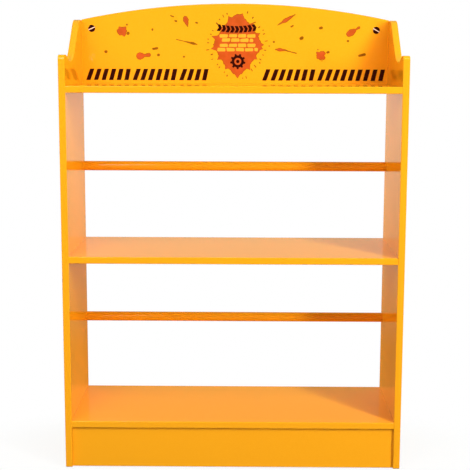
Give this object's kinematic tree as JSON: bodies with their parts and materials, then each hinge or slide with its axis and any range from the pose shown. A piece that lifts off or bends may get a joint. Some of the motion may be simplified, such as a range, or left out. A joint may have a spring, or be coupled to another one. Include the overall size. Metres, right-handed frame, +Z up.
{
  "type": "children's bookcase",
  "caption": "Low open-backed children's bookcase: two bays, a round rail across the back of each, a top tray with an arched back panel and swept sides.",
  "frame": {"origin": "middle of the footprint, on the floor that the glides stand on", "axes": "+Z up, -Y out of the front, +X to the right seen from the front"},
  "size_m": [0.6, 0.226, 0.8309],
  "materials": {
    "lacquered_board": "high-gloss yellow-orange lacquer on fibreboard",
    "dowel_wood": "plain sanded beech",
    "cam_zinc": "die-cast zinc, dull",
    "fitting_steel": "zinc-plated steel",
    "glide_plastic": "natural polyethylene",
    "printed_ink": "semi-gloss screen ink: rust, ochre, amber and dark brown, on the back panel's front face"
  },
  "bodies": {
    "root": {"back_base_dowels": "dowel_wood", "back_panel": "lacquered_board", "back_panel_bolts": "fitting_steel", "back_panel_cams": "cam_zinc", "back_panel_dowels": "dowel_wood", "bottom_shelf": "lacquered_board", "bottom_shelf_bolts": "fitting_steel", "bottom_shelf_cams": "cam_zinc", "bottom_shelf_dowels": "dowel_wood", "glide_nails": "fitting_steel", "glides": "glide_plastic", "kick_panel": "lacquered_board", "kick_panel_bolts": "fitting_steel", "kick_panel_cams": "cam_zinc", "kick_panel_dowels": "dowel_wood", "kick_top_dowels": "dowel_wood", "left_side": "lacquered_board", "lower_rail": "lacquered_board", "middle_shelf": "lacquered_board", "middle_shelf_bolts": "fitting_steel", "middle_shelf_cams": "cam_zinc", "middle_shelf_dowels": "dowel_wood", "right_side": "lacquered_board", "top_shelf": "lacquered_board", "top_shelf_bolts": "fitting_steel", "top_shelf_cams": "cam_zinc", "top_shelf_dowels": "dowel_wood", "upper_rail": "lacquered_board"}
  },
  "joints": []
}
